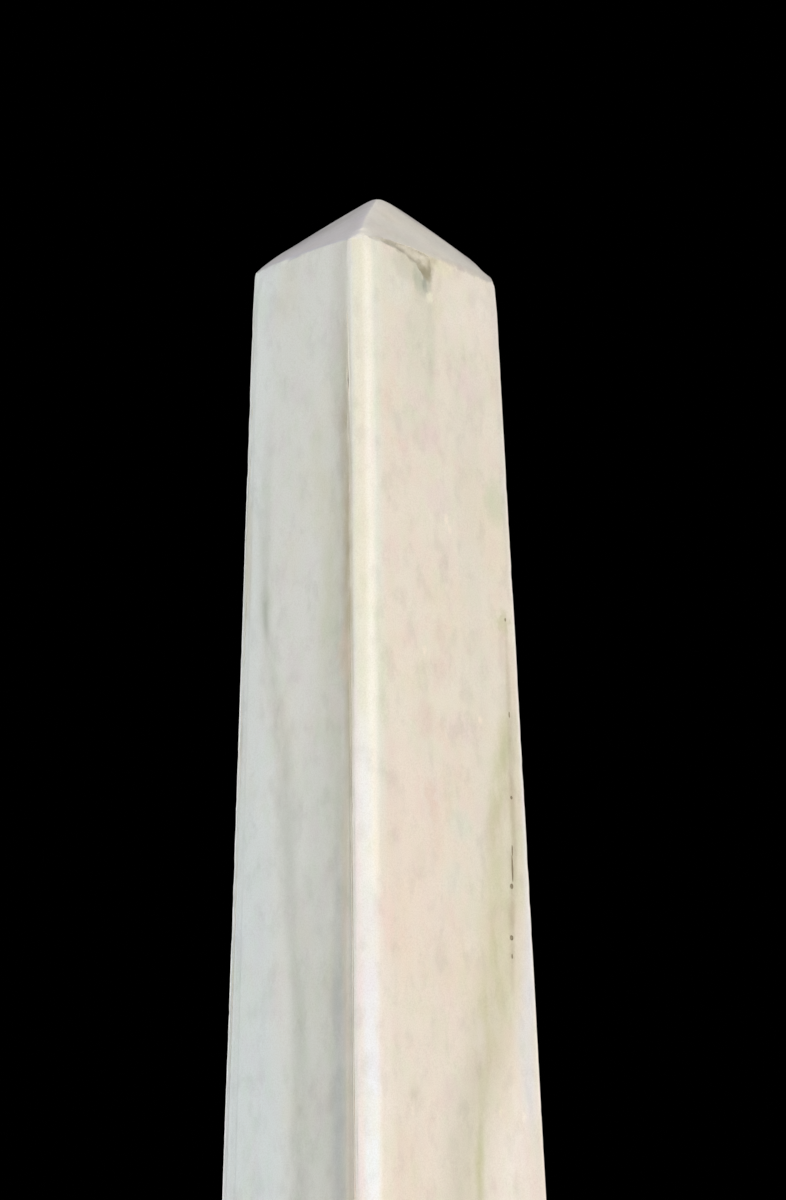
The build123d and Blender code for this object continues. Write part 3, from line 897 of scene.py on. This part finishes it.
baseLook = dict(
    # the base stones get a weaker painted bluish-grey shade on their left sides
    shaftLook, cream=(214, 209, 197), peach=(206, 201, 190), leftShadeAmount=0.3, runAmount=0.5,
    grime=(164, 161, 150), grimeAmount=0.85, roughness=(0.49, 0.63), bump=(0.3, 0.0012),
    splash=(150, 140, 118), splashZone=(0.34, 0.06), splashUneven=0.16, splashAmount=0.8,
    algae=(150, 162, 118), algaeZone=(0.75, 0.05), algaeAmount=0.6,  # zone: where it ends and is full
)
baseSkin = stoneSkin("baseStone", baseLook)
for node, shape in stones.items():
    stone = buildStone(node, shape)
    stone.data.materials.append(baseSkin)
    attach(stone, "root")
    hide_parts(node)


# mortar and the concrete heart keep their measured shapes

mortar = {
    "dark": (150, 144, 132), "light": (190, 184, 170),
    "stain": (120, 118, 104), "stainAmount": 0.6,
    "roughness": 0.9, "bump": (0.8, 0.002),
}
concrete = dict(
    mortar, dark=(132, 130, 126), light=(168, 166, 160),
    stain=(110, 106, 98), stainAmount=0.5,
)
mortarPaint, concretePaint = mortarSkin("mortar", mortar), mortarSkin("concrete", concrete)
for node in ("kerb_joints", "slab_bed", "plinth_bed", "shaft_bed", "step_heart"):
    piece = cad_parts[node]
    piece.data.materials.clear()
    piece.data.materials.append(concretePaint if node == "step_heart" else mortarPaint)
print("mortar and concrete painted")


# camera, lights, floor and backdrop

view = {
    "azimuth": -46.193,     # degrees round from the front, where the camera stands low and looks up
    "elevation": -11.869,
    "roll": -0.660,
    "distance": 3.3973,
    "aimHeight": 2.4582,
    "aside": 0.0150,
    "lens": 96.0,
}


def addCamera():
    clearSelection()
    turn = Matrix.Rotation(math.radians(view["azimuth"]), 4, "Z")
    tilt = Matrix.Rotation(math.radians(90 - view["elevation"]), 4, "X")
    roll = Matrix.Rotation(math.radians(view["roll"]), 4, "Z")
    looking = turn @ tilt @ roll
    place = Vector((0, 0, view["aimHeight"])) + looking @ Vector((view["aside"], 0, view["distance"]))
    bpy.ops.object.camera_add()
    camera = bpy.context.object
    camera.matrix_world = Matrix.Translation(place) @ looking
    camera.data.lens = view["lens"]
    camera.data.clip_end = 50
    bpy.context.scene.camera = camera


studio = {
    "lamps": [  # name, place, size, watts, tint
        ("keyBox", (-1.2, -3.9, 2.2), (1.8, 3.6), 150, (1.0, 0.968, 0.94)),
        ("leftBox", (-4.0, 0.6, 2.2), (1.4, 3.4), 95, (0.94, 0.98, 1.0)),
        ("rightBox", (4.0, -0.4, 2.4), (1.8, 3.2), 80, (1.0, 0.98, 0.95)),
        ("backBox", (0.4, 4.0, 2.4), (1.8, 3.2), 85, (0.96, 0.98, 1.0)),
        ("topBox", (0.0, 0.0, 5.6), (2.0, 2.0), 55, (0.97, 0.98, 1.0)),
    ],
    "aimTop": 2.8,          # no lamp aims higher
    "ambient": 0.22,
    "floor": (212, 210, 205),
    "floorRadius": 7.0,
    "floorBelow": 0.0005,   # clear of the bottom of the stones
    "floorPaintedFalloff": (1.6, 5.0),    # painted falloff of light: where it starts to darken, and where it is black
}


def addLamp(name, place, size, power, tint):
    clearSelection()
    bpy.ops.object.light_add(type="AREA", location=place)
    lamp = bpy.context.object
    lamp.name = lamp.data.name = name
    lamp.data.shape = "RECTANGLE"
    lamp.data.size, lamp.data.size_y = size
    lamp.data.energy = power
    lamp.data.color = tint
    aim = Vector((0, 0, min(place[2], studio["aimTop"])))
    lamp.rotation_euler = (aim - Vector(place)).to_track_quat("-Z", "Y").to_euler()


def addFloor():
    clearSelection()
    bpy.ops.mesh.primitive_circle_add(vertices=96, radius=studio["floorRadius"], fill_type="NGON",
                                      location=(0, 0, cadBox[0][2] - studio["floorBelow"]))
    floor = bpy.context.object
    floor.name = "floor"
    material, tree, shader, place = newMaterial("floorPaint")
    # painted falloff of light: the floor darkens to black away from the middle
    away = addNode(tree, "VectorMath", {0: place}, operation="LENGTH").outputs["Value"]
    far = fade(tree, away, *studio["floorPaintedFalloff"])
    tree.links.new(blend(tree, far, rgb(*studio["floor"]), (0, 0, 0, 1)), shader.inputs["Base Color"])
    shader.inputs["Roughness"].default_value = 0.8
    shader.inputs["Specular IOR Level"].default_value = 0.0
    floor.data.materials.append(material)


def addBackdrop():  # dark to look at, and still a soft light all round
    world = bpy.data.worlds.new("studio")
    bpy.context.scene.world = world
    world.use_nodes = True
    tree = world.node_tree
    seen = addNode(tree, "LightPath").outputs
    dark = sums(tree, "MAXIMUM", seen["Is Camera Ray"], sums(
        tree, "MAXIMUM", seen["Is Glossy Ray"], seen["Is Transmission Ray"]))
    strength = fade(tree, dark, 0, 1, studio["ambient"], 0)
    background = tree.nodes["Background"]
    background.inputs["Color"].default_value = (1, 1, 1, 1)
    tree.links.new(strength, background.inputs["Strength"])


addCamera()
for lamp in studio["lamps"]:
    addLamp(*lamp)
addFloor()
addBackdrop()
bpy.context.scene.view_settings.view_transform = "Standard"
print("camera and studio set")
